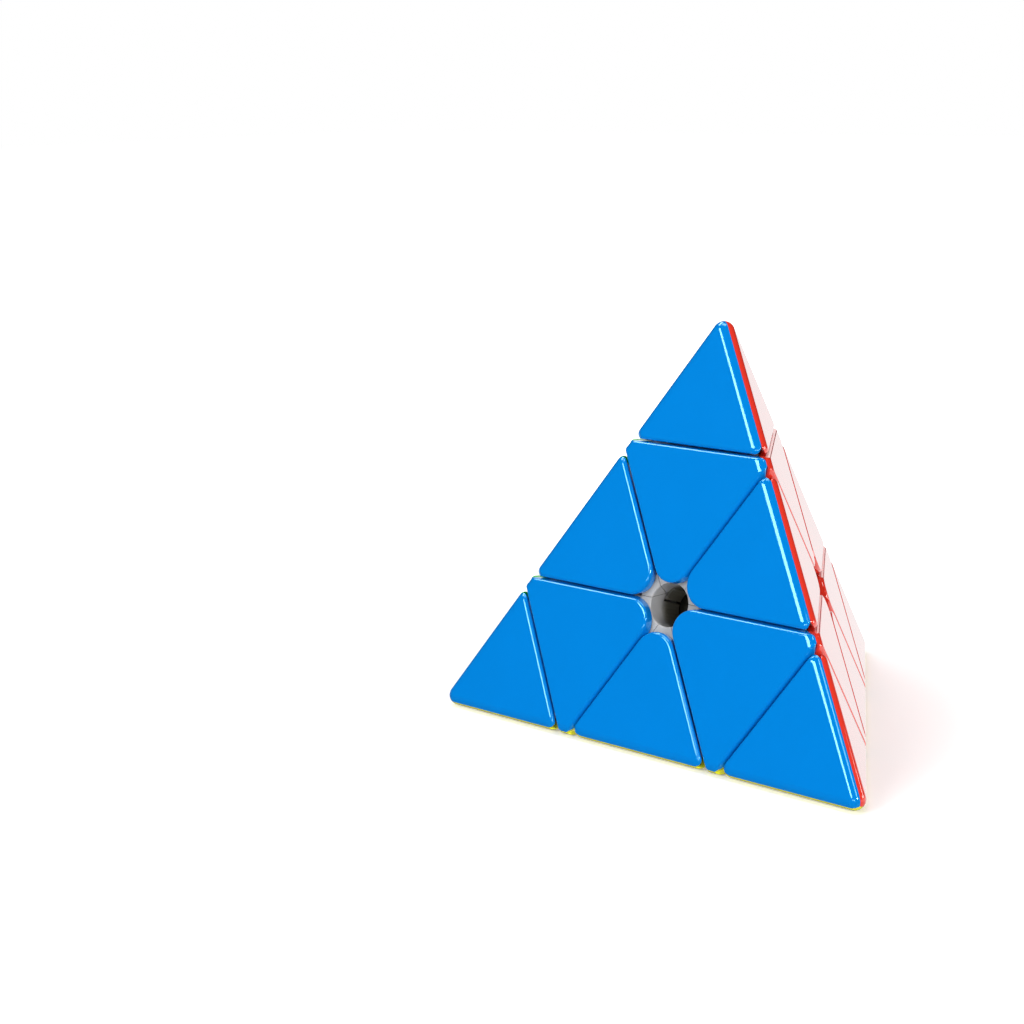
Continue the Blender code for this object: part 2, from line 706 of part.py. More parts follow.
def make_edge(name, pair, body, cover, rider):
    """One edge piece: its two shells, and its body, which the turn of either shell fits."""
    for face in faces_beside(*pair):
        turn = edge_turn(pair, FACE_OPPOSITE[face])
        place(name + "_" + FACE_COLOUR[face], cover, FACE_COLOUR[face], rider, turn)
    place(name, body, "light grey", rider, turn)


build()
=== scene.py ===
import json
import math

import bmesh
import bpy
from mathutils import Matrix, Vector

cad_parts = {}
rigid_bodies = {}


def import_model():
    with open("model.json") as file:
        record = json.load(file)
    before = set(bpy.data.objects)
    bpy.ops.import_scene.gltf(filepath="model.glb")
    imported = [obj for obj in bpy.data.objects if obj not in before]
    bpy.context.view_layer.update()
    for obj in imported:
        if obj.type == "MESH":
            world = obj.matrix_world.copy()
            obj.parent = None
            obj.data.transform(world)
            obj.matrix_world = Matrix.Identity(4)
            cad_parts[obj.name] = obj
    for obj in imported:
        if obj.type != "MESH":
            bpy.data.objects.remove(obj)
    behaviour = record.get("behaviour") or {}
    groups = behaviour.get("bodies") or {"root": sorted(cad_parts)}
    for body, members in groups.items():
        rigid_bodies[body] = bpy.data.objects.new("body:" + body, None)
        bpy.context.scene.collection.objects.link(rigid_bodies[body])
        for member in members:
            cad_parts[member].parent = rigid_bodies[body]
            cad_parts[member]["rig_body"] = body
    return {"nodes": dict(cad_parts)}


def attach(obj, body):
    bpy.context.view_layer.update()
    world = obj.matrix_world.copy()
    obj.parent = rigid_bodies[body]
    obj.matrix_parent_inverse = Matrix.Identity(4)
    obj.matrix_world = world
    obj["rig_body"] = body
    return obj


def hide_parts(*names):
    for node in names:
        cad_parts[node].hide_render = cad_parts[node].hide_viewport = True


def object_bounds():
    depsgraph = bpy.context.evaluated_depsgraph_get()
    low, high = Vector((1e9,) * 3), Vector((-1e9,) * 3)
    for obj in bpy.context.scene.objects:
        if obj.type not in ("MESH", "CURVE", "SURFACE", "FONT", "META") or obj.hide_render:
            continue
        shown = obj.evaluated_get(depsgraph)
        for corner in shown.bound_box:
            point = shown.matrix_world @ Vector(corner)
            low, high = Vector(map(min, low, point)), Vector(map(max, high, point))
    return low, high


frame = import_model()
solid_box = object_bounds()

# ---------------------------------------------------------------- coloured shells
# Thirty-six thin shells snap over the grey pieces and give each face its colour.  They are
# injection moulded in coloured ABS and polished, with a small rounding along every cut and
# a larger one along the rims, where two shells meet in a fine mitred seam.

RIM_RADIUS = 0.0021         # rounding along the sides of the pyramid
RIM_FLAT = 0.0006           # a centre shell's short side, on the rim
TURN_GAP = 0.00038          # between two pieces that turn past each other
SEAM_GAP = 0.00003          # between two shells of one piece, at the rim
SHELL_THICK = 0.0020
BORDER_RADIUS = 0.0007      # rounding along a cut
POINT_RADIUS = 0.0014       # of a sharp corner, seen from outside
BLUNT_RADIUS = 0.0009       # of a blunt corner, seen from outside
CENTRE_NOSE = 0.0042        # from the middle of a face to a centre shell
EDGE_NOSE = 0.0055          # from the middle of a face to an edge shell
ARC_STEPS = 7
POINT_STEPS = 8
BLUNT_STEPS = 5
NOSE_STEPS = 14
CREST_STEPS = 12
MERGE_WITHIN = 1.0e-6
CREASE = 40.0               # degrees, from which an edge looks sharp
FLAT_WEIGHT = 100           # share of the flats in the normals, where 50 is even
SAME_WAY = 0.9              # cosine above which two axes are one

FACE_DISTANCE = -solid_box[0].z
CORNER_DISTANCE = 3.0 * FACE_DISTANCE
EDGE = FACE_DISTANCE * math.sqrt(24.0)
FACE_HEIGHT = EDGE * math.sqrt(3.0) / 2.0
TIP_EDGE = EDGE / 3.0 - RIM_FLAT
HALF_CORNER = math.radians(30.0)
MITRE = math.asin(1.0 / math.sqrt(3.0))
LEAN = math.asin(1.0 / 3.0)
SEAM_LEAN = math.pi / 2.0 - MITRE - math.asin(SEAM_GAP / 2.0 / RIM_RADIUS)
CUT_START = TURN_GAP / 2.0 / math.cos(LEAN)
AXIS_REACH = math.sqrt(8.0) / 3.0
AXIS_DROP = -1.0 / 3.0

CORNERS = ("top", "left", "right", "back")
HEADINGS = {"left": -150.0, "right": -30.0, "back": 90.0}
FACE_OPPOSITE = {"blue": "back", "red": "left", "green": "right", "yellow": "top"}
SHELL_COLOURS = {
    "blue": (0.0006, 0.232, 0.720),
    "red": (0.870, 0.044, 0.024),
    "green": (0.012, 0.430, 0.045),
    "yellow": (0.980, 0.920, 0.030),
}
SHEEN_TINTS = {
    "blue": (0.32, 0.96, 0.98),
    "red": (1.0, 0.80, 0.76),
    "green": (0.60, 1.0, 0.65),
    "yellow": (1.0, 1.0, 0.70),
}
POLISH = {
    "IOR": 1.6,
    "Specular IOR Level": 1.0,
    "Coat Weight": 1.0,
    "Coat IOR": 1.30,
    "Coat Roughness": 0.04,
}
SINK_SIZE = 0.012           # broad hollows where the plastic shrank
PEEL_SIZE = 0.0011          # orange peel
PEEL_DETAIL = 3.0
HAIRLINES = (               # width, stretch, turn, and the level above which one shows
    (0.00022, (1.0, 0.015, 0.03), (0.4, 0.9, 0.3), 0.76),
    (0.00018, (0.02, 1.0, 0.015), (0.2, -0.5, 0.8), 0.77),
)
SHELL_BUMP = {"Strength": 0.25, "Distance": 0.00004}
PEEL_RELIEF = 0.6
SINK_RELIEF = 0.4
HAIR_RELIEF = 0.03
SHELL_SHADES = 0.03
SHELL_ROUGHNESS = 0.05
SINK_DULLING = 0.02
HAIR_DULLING = 0.05
HANDLED_POLISH = 0.01

UP = Vector((0.0, 0.0, 1.0))
AXES = {"top": UP}
for corner, heading in HEADINGS.items():
    AXES[corner] = Vector((AXIS_REACH * math.cos(math.radians(heading)),
                           AXIS_REACH * math.sin(math.radians(heading)), AXIS_DROP))


def axes_matrix(*names):
    """Matrix whose columns are the axes of the named corners."""
    return Matrix([AXES[name] for name in names]).transposed()


def carry(top_to, back_to):
    """Rotation of the pyramid onto itself that moves two of its corners as named."""
    start = axes_matrix("top", "left", "back").inverted()
    for left_to in CORNERS:
        if left_to in (top_to, back_to):
            continue
        turn = axes_matrix(top_to, left_to, back_to) @ start
        if turn.determinant() > 0.0:
            return turn.to_4x4()


def front_frame():
    """Matrix of the front face: origin at its middle, Y to the top corner, Z outwards."""
    out = -AXES["back"]
    up = (AXES["top"] * CORNER_DISTANCE - out * FACE_DISTANCE).normalized()
    made = Matrix((up.cross(out), up, out)).transposed().to_4x4()
    made.translation = out * FACE_DISTANCE
    return made


FRONT = front_frame()


def cut_levels(lean):
    """(inset, depth) up a shell's wall along a cut, and over its rounded border."""
    sweep = math.pi / 2.0 + lean
    crown = CUT_START + BORDER_RADIUS * math.tan(sweep / 2.0)
    levels = [(CUT_START + SHELL_THICK * math.tan(lean), SHELL_THICK)]
    for step in range(ARC_STEPS, -1, -1):
        angle = sweep * step / ARC_STEPS
        levels.append((crown - BORDER_RADIUS * math.sin(angle),
                       BORDER_RADIUS * (1.0 - math.cos(angle))))
    return levels


def rim_levels():
    """(inset, depth) up a shell's mitred wall at the rim, and over the rim's rounding."""
    seam = SEAM_GAP / 2.0 / math.sin(MITRE)
    levels = [(SHELL_THICK / math.tan(MITRE) + seam, SHELL_THICK)]
    for step in range(ARC_STEPS, -1, -1):
        lean = SEAM_LEAN * step / ARC_STEPS
        levels.append((RIM_RADIUS * (1.0 / math.tan(MITRE) - math.sin(lean)),
                       RIM_RADIUS * (1.0 - math.cos(lean))))
    return levels


LEVELS = {"in": cut_levels(LEAN), "out": cut_levels(-LEAN), "rim": rim_levels()}


def inward(a, b):
    """Unit normal to the left of the line from a to b."""
    along = (b - a).normalized()
    return Vector((-along.y, along.x))


def inset_corner(before, here, after, inset_before, inset_after):
    """Where two sides of an outline cross after each has moved inwards."""
    along_one = (here - before).normalized()
    along_two = (after - here).normalized()
    first = here + inward(before, here) * inset_before
    gap = here + inward(here, after) * inset_after - first
    return first + along_one * (gap.cross(along_two) / along_one.cross(along_two))


def corner_radius(shape, size, kinds, half, level):
    """Radius of a shell's corner at one level, seen from outside."""
    inset = LEVELS[kinds[0] if kinds[0] != "rim" else kinds[1]][level][0]
    if shape == "round":
        return size - (max(0.0, inset - CUT_START) if level > 1 else 0.0)
    rise = (ARC_STEPS + 1 - level) / ARC_STEPS if level else 1.0
    reach = size + BORDER_RADIUS * (1.0 - math.sin(math.pi / 2.0 * rise))
    return (reach - inset / math.sin(half)) / (1.0 / math.sin(half) - 1.0)


def round_corner(before, here, after, kinds, corner, level):
    """Points of one rounded corner of a shell's outline at one level."""
    inset_one, depth_one = LEVELS[kinds[0]][level]
    inset_two, depth_two = LEVELS[kinds[1]][level]
    sharp = inset_corner(before, here, after, inset_one, inset_two)
    back = (before - here).normalized()
    ahead = (after - here).normalized()
    half = back.angle(ahead) / 2.0
    shape, size, steps = corner
    radius = corner_radius(shape, size, kinds, half, level)
    centre = sharp + (back + ahead).normalized() * radius / math.sin(half)
    points = []
    for step in range(steps + 1):
        share = step / steps
        spoke = -inward(before, here)
        spoke.rotate(Matrix.Rotation((math.pi - 2.0 * half) * share, 2))
        flat = centre + spoke * radius
        points.append(Vector((flat.x, flat.y, -(depth_one + (depth_two - depth_one) * share))))
    return points


def crest_corner(level):
    """Points of a tip shell's corner, which is part of a ball, at one level."""
    peak = Vector((0.0, FACE_HEIGHT * 2.0 / 3.0, 0.0))
    inset, depth = LEVELS["rim"][level]
    ball = peak - Vector((0.0, RIM_RADIUS / math.tan(MITRE) * 2.0, RIM_RADIUS))
    reach = math.sqrt(RIM_RADIUS ** 2 - (SEAM_GAP / 2.0) ** 2)
    crest = math.acos(SEAM_GAP / 2.0 * math.sin(MITRE) / reach) - MITRE
    points = []
    for step in range(CREST_STEPS, -1, -1):
        share = 2.0 * step / CREST_STEPS - 1.0
        hand = math.copysign(1.0, share)
        down = Vector((hand * math.sin(HALF_CORNER), -math.cos(HALF_CORNER), 0.0))
        if level == 0:
            flat = peak + down * (abs(share) * RIM_RADIUS)
            points.append(flat - Vector((0.0, inset * 2.0, depth)))
            continue
        side = Vector((hand * math.cos(HALF_CORNER), math.sin(HALF_CORNER), 0.0))
        seam = (UP * math.cos(MITRE) - side * math.sin(MITRE)) * (SEAM_GAP / 2.0)
        turn = crest * (1.0 - abs(share))
        out = UP * math.sin(MITRE) + side * math.cos(MITRE)
        seam += (out * math.cos(turn) - down * math.sin(turn)) * reach
        share_up = 1.0 - (level - 1) / ARC_STEPS
        points.append(ball + UP.slerp(seam.normalized(), share_up) * RIM_RADIUS)
    return points


def skin(bm, one, two):
    """Faces between two closed rows of points."""
    for i in range(len(one)):
        j = (i + 1) % len(one)
        bm.faces.new([one[i], one[j], two[j], two[i]])


def formed(bm, name, crease, place):
    """Mesh of a built shape in its place, smooth but for its creases."""
    bmesh.ops.remove_doubles(bm, verts=bm.verts, dist=MERGE_WITHIN)
    bmesh.ops.recalc_face_normals(bm, faces=bm.faces)
    mesh = bpy.data.meshes.new(name)
    bm.to_mesh(mesh)
    bm.free()
    mesh.transform(place)
    mesh.shade_smooth()
    mesh.set_sharp_from_angle(angle=math.radians(crease))
    return mesh


def shell(outline, kinds, corners, name):
    """Loft one shell through its levels, and mark its roundings, which hands polish."""
    bm = bmesh.new()
    handled = bm.verts.layers.float.new("handled")
    rings = []
    for level in range(len(LEVELS["rim"])):
        ring = []
        for i, (here, corner) in enumerate(zip(outline, corners)):
            if corner == "crest":
                ring += crest_corner(level)
                continue
            ring += round_corner(outline[i - 1], here, outline[(i + 1) % len(outline)],
                                 (kinds[i - 1], kinds[i]), corner, level)
        points = [bm.verts.new(point) for point in ring]
        for point in points:
            point[handled] = math.sin(math.pi * level / (ARC_STEPS + 1)) if level else 0.0
        rings.append(points)
    bm.faces.new(rings[0][::-1])
    for low, high in zip(rings, rings[1:]):
        skin(bm, low, high)
    bm.faces.new(rings[-1])
    return formed(bm, name, CREASE, FRONT)


class Wire:
    """A shader socket that takes part in sums like a number."""

    def __init__(self, finish, socket):
        self.finish = finish
        self.socket = socket

    def sum_with(self, operation, one, two):
        return self.finish.node("ShaderNodeMath", {"operation": operation}, {0: one, 1: two})

    def __add__(self, other):
        return self.sum_with("ADD", self, other)

    def __radd__(self, other):
        return self.sum_with("ADD", other, self)

    def __sub__(self, other):
        return self.sum_with("SUBTRACT", self, other)

    def __rsub__(self, other):
        return self.sum_with("SUBTRACT", other, self)

    def __mul__(self, other):
        return self.sum_with("MULTIPLY", self, other)

    def __rmul__(self, other):
        return self.sum_with("MULTIPLY", other, self)

    def __gt__(self, other):
        return self.sum_with("GREATER_THAN", self, other)

    def __lt__(self, other):
        return self.sum_with("LESS_THAN", self, other)


class Finish:
    """The nodes of one material, or of the white room."""

    MIX_SOCKETS = (0, 6, 7)     # of a colour mix: share, first colour, second colour
    MIX_RESULT = 2

    def __init__(self, owner, shader="Principled BSDF"):
        owner.use_nodes = True
        self.owner = owner
        self.tree = owner.node_tree
        self.shader = self.tree.nodes[shader]

    def feed(self, made, sockets):
        """Links and constants into a node's sockets."""
        for key, value in sockets.items():
            target = made.inputs[key]
            if isinstance(value, Wire):
                self.tree.links.new(value.socket, target)
            elif target.type == "RGBA":
                target.default_value = (*value, 1.0)
            else:
                target.default_value = value

    def node(self, kind, settings, sockets, output=0):
        """A node with its settings, then the values or links of its sockets."""
        made = self.tree.nodes.new(kind)
        for key, value in settings.items():
            setattr(made, key, value)
        self.feed(made, sockets)
        return Wire(self, made.outputs[output])

    def set(self, sockets):
        """The material, once its shader has the values and links of its sockets."""
        self.feed(self.shader, sockets)
        return self.owner

    def here(self):
        """Where a point lies on the piece, in metres."""
        return self.node("ShaderNodeTexCoord", {}, {}, "Object")

    def place(self, stretch=(1.0, 1.0, 1.0), turn=(0.0, 0.0, 0.0)):
        """Where a point lies on the piece, stretched along three directions."""
        return self.node("ShaderNodeMapping", {},
                         {"Vector": self.here(), "Scale": stretch, "Rotation": turn})

    def noise(self, size, detail=2.0, where=None):
        """Cloudy value from 0 to 1 whose patches are about a size across, in metres."""
        return self.node("ShaderNodeTexNoise", {}, {"Vector": where or self.place(),
                                                    "Scale": 1.0 / size, "Detail": detail})

    def span(self, value, low, high, low_to=0.0, high_to=1.0):
        """A value carried from one span to another, and held at its ends."""
        return self.node("ShaderNodeMapRange", {}, {
            "Value": value, "From Min": low, "From Max": high,
            "To Min": low_to, "To Max": high_to})

    def length(self, vector):
        """Distance of a point from the origin."""
        return self.node("ShaderNodeVectorMath", {"operation": "LENGTH"}, {0: vector}, "Value")

    def bump(self, height, amounts):
        """Normal of a surface with a relief."""
        return self.node("ShaderNodeBump", {}, {"Height": height, **amounts})

    def mixed(self, share, one, two):
        """Colour between two others."""
        return self.node("ShaderNodeMix", {"data_type": "RGBA"},
                         dict(zip(self.MIX_SOCKETS, (share, one, two))), self.MIX_RESULT)

    def mottled(self, share, colour, shades):
        """A colour that is a little darker here and lighter there."""
        darker, lighter = [tuple(min(1.0, part * factor) for part in colour)
                           for factor in (1.0 - shades, 1.0 + shades)]
        return self.mixed(share, darker, lighter)


def shell_plastic(name, colour):
    """Polished coloured ABS with faint sink marks, orange peel and hairline scratches."""
    finish = Finish(bpy.data.materials.new(name + " shell plastic"))
    sinks = finish.noise(SINK_SIZE)
    peel = finish.noise(PEEL_SIZE, PEEL_DETAIL)
    one, two = [finish.noise(width, 0.0, finish.place(stretch, turn)) > level
                for width, stretch, turn, level in HAIRLINES]
    hairs = (one + two) * 0.5
    handled = finish.node("ShaderNodeAttribute", {"attribute_name": "handled"}, {}, "Fac")
    relief = peel * PEEL_RELIEF + sinks * SINK_RELIEF - hairs * HAIR_RELIEF
    return finish.set({
        "Base Color": finish.mottled(sinks, colour, SHELL_SHADES),
        "Specular Tint": SHEEN_TINTS[name],
        "Roughness": (SHELL_ROUGHNESS + sinks * SINK_DULLING + hairs * HAIR_DULLING
                      - handled * HANDLED_POLISH),
        "Normal": finish.bump(relief, SHELL_BUMP),
        **POLISH})


def dress(name, mesh, material, body, slot):
    """A finished piece, on the body that it moves with."""
    mesh.materials.append(material)
    piece = bpy.data.objects.new(name, mesh)
    bpy.context.scene.collection.objects.link(piece)
    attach(piece, body)
    return piece


middle = Vector((0.0, 0.0))
top_point = Vector((0.0, FACE_HEIGHT * 2.0 / 3.0))
left_point = Vector((-EDGE / 2.0, -FACE_HEIGHT / 3.0))
right_point = Vector((EDGE / 2.0, -FACE_HEIGHT / 3.0))
to_left = (left_point - top_point).normalized()
to_right = (right_point - top_point).normalized()
tip_left = top_point + to_left * TIP_EDGE
tip_right = top_point + to_right * TIP_EDGE
cut_left = top_point + to_left * EDGE / 3.0
cut_right = top_point + to_right * EDGE / 3.0
low_right = top_point + to_right * EDGE * 2.0 / 3.0

POINT = ("round", POINT_RADIUS, POINT_STEPS)
BLUNT = ("round", BLUNT_RADIUS, BLUNT_STEPS)
SHELLS = {
    "tip": shell([top_point, tip_left, tip_right], ("rim", "in", "rim"),
                 ("crest", POINT, POINT), "tip shell"),
    "centre": shell([tip_left, cut_left, middle, cut_right, tip_right],
                    ("rim", "out", "out", "rim", "out"),
                    (BLUNT, BLUNT, ("nose", CENTRE_NOSE, NOSE_STEPS), BLUNT, BLUNT),
                    "centre shell"),
    "edge": shell([cut_right, middle, low_right], ("in", "in", "rim"),
                  (POINT, ("nose", EDGE_NOSE, NOSE_STEPS), POINT), "edge shell"),
}
PLASTICS = {name: shell_plastic(name, colour) for name, colour in SHELL_COLOURS.items()}

PLACES = []
for corner in CORNERS:
    for colour, across in FACE_OPPOSITE.items():
        if across == corner:
            continue
        for kind in ("tip", "centre"):
            PLACES.append((kind, kind + "_" + corner + "_" + colour, colour,
                           carry(corner, across)))
for node in sorted(frame["nodes"]):
    words = node.split("_")
    if words[0] != "edge" or words[-1] not in SHELL_COLOURS:
        continue
    kind, *ends, colour = words
    for first, second in (ends, ends[::-1]):
        turn = carry(first, FACE_OPPOSITE[colour])
        if (turn.to_3x3() @ AXES["right"]).dot(AXES[second]) > SAME_WAY:
            PLACES.append((kind, node, colour, turn))

for kind, node, colour, turn in PLACES:
    mesh = SHELLS[kind].copy()
    mesh.transform(turn)
    cover = dress("shell_" + node, mesh, PLASTICS[colour], frame["nodes"][node]["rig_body"],
                  colour + "_shell")
    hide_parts(node)
    level = cover.modifiers.new("level", "WEIGHTED_NORMAL")
    level.keep_sharp = True
    level.weight = FLAT_WEIGHT

# ---------------------------------------------------------------- grey bodies
# Under the shells each tip, centre and edge piece is a light grey body, moulded in ABS.  It is
# satin where bodies rub on each other.  Near the core its colour is painted darker and olive,
# as painted shade for the deep hollow inside.  The edge bodies' collars stop just under the
# shells, below the lips round the middle of each face.

GREY = (0.47, 0.46, 0.45)
GREY_ROUGHNESS = 0.30
BODY_DEPTH = 0.0023         # from a face down to the edge bodies' collars
BODY_GAP = 0.000265         # from a layer's plane to a collar's side
BODY_CREASE = 25.0
PAINTED_SHADE_FROM = 0.0145        # distance from the middle of the core within which the painted shade is full
PAINTED_SHADE_TO = 0.0165
PAINTED_SHADE_WOBBLE = 0.001
PAINTED_SHADE_TINT = (0.42, 0.40, 0.32)
SMEAR_SIZE = 0.006
GRAIN_SIZE = 0.0003
GRAIN_DETAIL = 4.0
GRAIN_BUMP = {"Strength": 0.3, "Distance": 0.00003}
BODY_SHADES = 0.07
SMEAR_DULLING = 0.10


def body_plastic(name, colour, roughness):
    """Satin moulded plastic with a fine grain, painted darker towards the core as painted
    shade.
    """
    finish = Finish(bpy.data.materials.new(name))
    smears = finish.noise(SMEAR_SIZE)
    grain = finish.noise(GRAIN_SIZE, GRAIN_DETAIL)
    # Painted shade: the colour is darkened and tinted olive towards the core, where the hollow
    # inside the puzzle lies in shade.
    away = finish.length(finish.here()) + smears * PAINTED_SHADE_WOBBLE
    shaded_colour = tuple(part * film for part, film in zip(colour, PAINTED_SHADE_TINT))
    return finish.set({
        "Base Color": finish.mixed(finish.span(away, PAINTED_SHADE_FROM, PAINTED_SHADE_TO), shaded_colour,
                                   finish.mottled(smears, colour, BODY_SHADES)),
        "Roughness": roughness + smears * SMEAR_DULLING,
        "Normal": finish.bump(grain, GRAIN_BUMP)})


def half_sector(side, radius, depth, gap):
    """Half of the angle, about the middle of a face, that a body has at a radius and depth."""
    shift = depth * math.tan(LEAN) - side * gap
    return HALF_CORNER + side * math.asin(min(1.0, shift / radius))


def cut_down_collar(bm, here):
    """Lower one collar of an edge body to its depth, inside the same sides."""
    for point in bm.verts:
        local = here.inverted() @ point.co
        radius = math.hypot(local.x, local.y)
        if radius > EDGE_NOSE or not -BODY_DEPTH < local.z < 0.0:
            continue
        narrowing = (half_sector(-1.0, radius, BODY_DEPTH, BODY_GAP)
                     / half_sector(-1.0, radius, -local.z, BODY_GAP))
        angle = (math.atan2(local.y, local.x) - HALF_CORNER) * narrowing + HALF_CORNER
        point.co = here @ Vector((radius * math.cos(angle), radius * math.sin(angle),
                                  -BODY_DEPTH))


grey_plastic = body_plastic("grey body plastic", GREY, GREY_ROUGHNESS)
for node, piece in frame["nodes"].items():
    words = node.split("_")
    if words[0] in SHELLS and words[-1] not in SHELL_COLOURS:
        piece.material_slots[0].material = grey_plastic

bodies = {}
for kind, node, colour, turn in PLACES:
    if kind != "edge":
        continue
    solid = frame["nodes"][node.removesuffix("_" + colour)]
    if solid not in bodies:
        bodies[solid] = bmesh.new()
        bodies[solid].from_mesh(solid.data)
        bodies[solid].transform(solid.matrix_world)
    cut_down_collar(bodies[solid], turn @ FRONT)
for solid, bm in bodies.items():
    bmesh.ops.remove_doubles(bm, verts=bm.verts, dist=MERGE_WITHIN)
    bmesh.ops.dissolve_degenerate(bm, dist=MERGE_WITHIN, edges=bm.edges)
    mesh = formed(bm, solid.name + " body", BODY_CREASE, Matrix.Identity(4))
    made = dress("body_" + solid.name, mesh, grey_plastic, solid["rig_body"], "inner_plastic")
    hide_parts(solid.name)

# ---------------------------------------------------------------- lips
# Every centre and edge body has a thin rounded lip round the hole in the middle of a face,
# moulded in one with it in the same grey ABS.  Six lips to a face fill the star between the
# shells' noses, and their walls line the hole.

LIP_RADIUS = 0.0043         # of the hole
LIP_REACH = 0.0068          # to the lips' outer ends, under the shells
LIP_ROUND = 0.0003
LIP_DEPTH = 0.0022
LIP_GAP = 0.00006
LIP_BACK = 0.0003           # thickness
LIP_COLUMNS = 32
LIP_STEPS = 6
WALL_STEPS = 4
LIP_SIZES = {               # side of the layer's plane, foot of the wall, middle angle
    "centre": (1.0, 0.0062, 90.0),
    "edge": (-1.0, 0.0057, 30.0),
}


def lip_section(low):
    """(radius, depth) round a lip's section: over its top, down the hole, and back."""
    section = [(LIP_REACH, LIP_DEPTH + LIP_BACK), (LIP_REACH, LIP_DEPTH)]
    for step in range(LIP_STEPS + 1):
        turn = math.pi / 2.0 * step / LIP_STEPS
        section.append((LIP_RADIUS + LIP_ROUND * (1.0 - math.sin(turn)),
                        LIP_DEPTH + LIP_ROUND * (1.0 - math.cos(turn))))
    brink = LIP_DEPTH + LIP_ROUND
    for step in range(1, WALL_STEPS + 1):
        section.append((LIP_RADIUS, brink + (low - brink) * step / WALL_STEPS))
    section.append((LIP_RADIUS + LIP_BACK, low))
    return section


def lip(kind):
    """Lip of one body round the hole in the front face, and the wall under it."""
    side, low, middle_angle = LIP_SIZES[kind]
    bm = bmesh.new()
    columns = []
    for column in range(LIP_COLUMNS + 1):
        share = 2.0 * column / LIP_COLUMNS - 1.0
        ring = []
        for radius, depth in lip_section(low):
            angle = (math.radians(middle_angle)
                     + share * half_sector(side, radius, depth, LIP_GAP))
            ring.append(bm.verts.new((radius * math.cos(angle), radius * math.sin(angle),
                                      -depth)))
        columns.append(ring)
    for one, two in zip(columns, columns[1:]):
        skin(bm, one, two)
    bm.faces.new(columns[0][::-1])
    bm.faces.new(columns[-1])
    return formed(bm, kind + " lip", CREASE, FRONT)


LIPS = {kind: lip(kind) for kind in LIP_SIZES}
for kind, node, colour, turn in PLACES:
    if kind in LIPS:
        mesh = LIPS[kind].copy()
        mesh.transform(turn)
        dress("lip_" + node, mesh, grey_plastic, frame["nodes"][node]["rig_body"],
              "inner_plastic")

# ---------------------------------------------------------------- core
# The ball with its four posts is the heart of the puzzle, and takes the four screws.  It is
# moulded in dark glass-filled nylon, which wears slowly and keeps its shape.

NYLON = (0.085, 0.084, 0.078)
NYLON_ROUGHNESS = 0.42

# Its colour takes the grey bodies' painted shade, so it is darker and more olive than the
# nylon itself.
nylon = body_plastic("core nylon", NYLON, NYLON_ROUGHNESS)
frame["nodes"]["core"].material_slots[0].material = nylon

# ---------------------------------------------------------------- screws and springs
# A screw with a hexagon socket goes down each axis into the core, and a coil spring under
# its head presses the centre piece on the ball.  The screws are turned steel and the springs
# drawn wire, all plated with zinc.

SCREW_STEEL = (0.60, 0.59, 0.565)
SCREW_ROUGHNESS = 0.22
SPRING_STEEL = (0.50, 0.50, 0.505)
SPRING_ROUGHNESS = 0.18
LINE_SIZE = 0.00012
LINE_DETAIL = 1.0
LINE_STRETCH = (1.0, 1.0, 0.2)
LINE_BUMP = {"Strength": 0.15, "Distance": 0.00001}
STAIN_SIZE = 0.002
STEEL_SHADES = 0.1
STAIN_DULLING = 0.12


def plated_steel(name, colour, roughness):
    """Plated steel with fine lines left by the drawing or turning."""
    finish = Finish(bpy.data.materials.new(name))
    lines = finish.noise(LINE_SIZE, LINE_DETAIL, finish.place(LINE_STRETCH))
    stains = finish.noise(STAIN_SIZE)
    return finish.set({
        "Base Color": finish.mottled(stains, colour, STEEL_SHADES),
        "Metallic": 1.0,
        "Roughness": roughness + stains * STAIN_DULLING,
        "Normal": finish.bump(lines, LINE_BUMP)})


screw_steel = plated_steel("plated screw steel", SCREW_STEEL, SCREW_ROUGHNESS)
spring_steel = plated_steel("spring wire", SPRING_STEEL, SPRING_ROUGHNESS)
for corner in CORNERS:
    frame["nodes"]["screw_" + corner].material_slots[0].material = screw_steel
    frame["nodes"]["spring_" + corner].material_slots[0].material = spring_steel

# ---------------------------------------------------------------- floor
# A sheet of white paper lies under the puzzle.  It glows white to the camera, and less near
# the puzzle, so that the shadow and the light from the coloured faces show on it.  In
# reflections it is a painted reflection: dark in front of the puzzle, and glowing behind it,
# which puts a painted white sheen in the side face.

FLOOR_SIZE = 6.0
FLOOR_DROP = 0.0001         # clear of the yellow face
PAPER_WHITE = (0.86, 0.86, 0.86)
PAPER_DARK_IN_REFLECTION = (0.02, 0.02, 0.02)
PAPER_ROUGHNESS = 0.9
PAINTED_SHEEN_FROM = -0.030
PAINTED_SHEEN_TO = -0.020
GLOW_NEAR = 0.28
GLOW_FAR = 0.96
GLOW_FROM = 0.05
GLOW_TO = 0.17


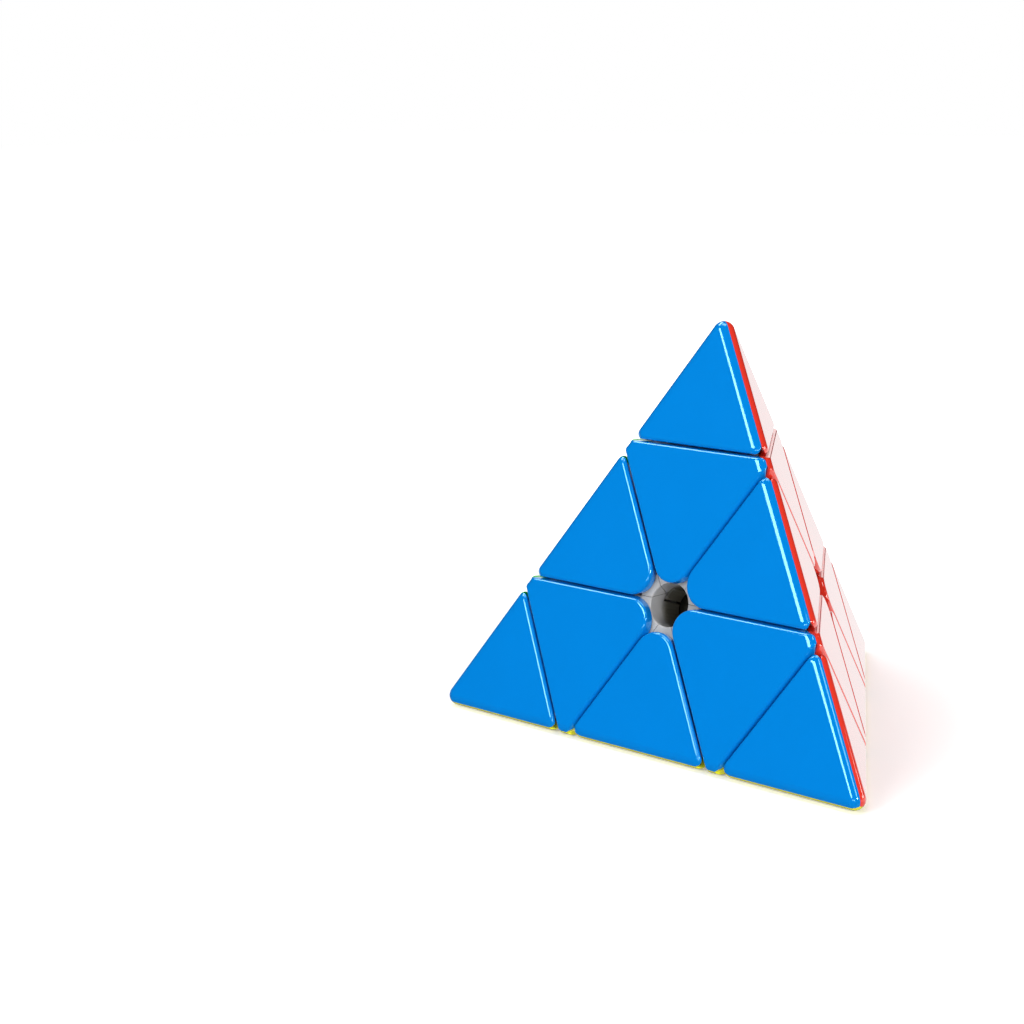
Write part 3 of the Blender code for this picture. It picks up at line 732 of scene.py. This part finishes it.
def paper(name):
    """White paper that glows to the camera, and is a painted reflection in reflected rays:
    dark in front of the puzzle and glowing behind it.
    """
    finish = Finish(bpy.data.materials.new(name))
    in_gloss = finish.node("ShaderNodeLightPath", {}, {}, "Is Glossy Ray")
    seen = finish.node("ShaderNodeLightPath", {}, {}, "Is Camera Ray")
    spot = finish.node("ShaderNodeNewGeometry", {}, {}, "Position")
    backwards = finish.node("ShaderNodeSeparateXYZ", {}, {0: spot}, "Y")
    # Painted reflection: reflected rays see dark paper, and glowing paper only behind the
    # puzzle.
    painted_sheen = finish.span(backwards, PAINTED_SHEEN_FROM, PAINTED_SHEEN_TO)
    pale = finish.span(finish.length(spot), GLOW_FROM, GLOW_TO, GLOW_NEAR, GLOW_FAR)
    return finish.set({
        "Base Color": finish.mixed(in_gloss, PAPER_WHITE, PAPER_DARK_IN_REFLECTION),
        "Roughness": PAPER_ROUGHNESS,
        "Specular IOR Level": 0.0,
        "Emission Color": in_gloss * painted_sheen + seen * pale,
        "Emission Strength": 1.0})


bm = bmesh.new()
bmesh.ops.create_grid(bm, x_segments=1, y_segments=1, size=FLOOR_SIZE / 2.0)
floor_mesh = bpy.data.meshes.new("floor")
bm.to_mesh(floor_mesh)
bm.free()
floor_mesh.materials.append(paper("white paper"))
floor = bpy.data.objects.new("floor", floor_mesh)
floor.location.z = solid_box[0].z - FLOOR_DROP
bpy.context.scene.collection.objects.link(floor)

# ---------------------------------------------------------------- studio light
# Softboxes of white cloth on frames stand round the table: one before each face that shows,
# and smaller ones above and behind that draw the lines along the cuts.  The room is white,
# and adds little light of its own.

ROOM_WHITE = (1.0, 1.0, 1.0)
ROOM_LIGHT = 0.06
ROOM_IN_GLOSS = 0.01
ROOM_SEEN = 1.0
SOFTBOXES = {               # direction, distance, width, height, power
    "front softbox": ((-0.18, -0.82, 0.54), 1.0, 0.60, 0.28, 4.5),
    "right softbox": ((0.83, -0.446, 0.359), 1.1, 0.22, 0.22, 4.8),
    "side softbox": ((0.62, -0.35, 0.70), 1.1, 0.16, 0.16, 0.4),
    "top softbox": ((-0.53, 0.10, 0.83), 1.1, 0.75, 0.30, 3.8),
    "overhead softbox": ((0.0, 0.0, 1.0), 1.2, 0.70, 0.50, 3.8),
    "low softbox": ((0.45, -0.89, 0.06), 1.1, 0.50, 0.12, 1.2),
    "far softbox": ((0.78, 0.58, 0.22), 1.1, 0.46, 0.28, 2.2),
    "back softbox": ((-0.535, 0.798, 0.30), 1.3, 0.90, 0.50, 1.6),
}

world = bpy.data.worlds.new("surround")
bpy.context.scene.world = world
room = Finish(world, "Background")
in_gloss = room.node("ShaderNodeLightPath", {}, {}, "Is Glossy Ray")
seen = room.node("ShaderNodeLightPath", {}, {}, "Is Camera Ray")
room.set({
    "Color": ROOM_WHITE,
    "Strength": (ROOM_LIGHT + in_gloss * (ROOM_IN_GLOSS - ROOM_LIGHT)
                 + seen * (ROOM_SEEN - ROOM_LIGHT))})

for name, (towards, distance, width, height, power) in SOFTBOXES.items():
    lamp = bpy.data.lights.new(name, "AREA")
    lamp.shape = "RECTANGLE"
    lamp.size = width
    lamp.size_y = height
    lamp.energy = power
    holder = bpy.data.objects.new(name, lamp)
    holder.location = Vector(towards).normalized() * distance
    holder.rotation_euler = Vector(towards).to_track_quat("Z", "Y").to_euler()
    holder.visible_camera = False
    bpy.context.scene.collection.objects.link(holder)

# ---------------------------------------------------------------- camera
# The camera stands to the right of the blue face, a little above the puzzle, and takes in
# the blue and the red face.

CAMERA_PLACE = (0.20416, -0.30432, 0.10689)
CAMERA_TURN = (76.883, 0.8313, 40.2039)
CAMERA_LENS = 66.158
CAMERA_SENSOR = 36.0
CAMERA_NEAREST = 0.01

camera_data = bpy.data.cameras.new("camera")
camera_data.lens = CAMERA_LENS
camera_data.sensor_width = CAMERA_SENSOR
camera_data.clip_start = CAMERA_NEAREST
camera = bpy.data.objects.new("camera", camera_data)
camera.location = CAMERA_PLACE
camera.rotation_euler = [math.radians(angle) for angle in CAMERA_TURN]
bpy.context.scene.collection.objects.link(camera)
bpy.context.scene.camera = camera
bpy.context.scene.view_settings.view_transform = "Standard"
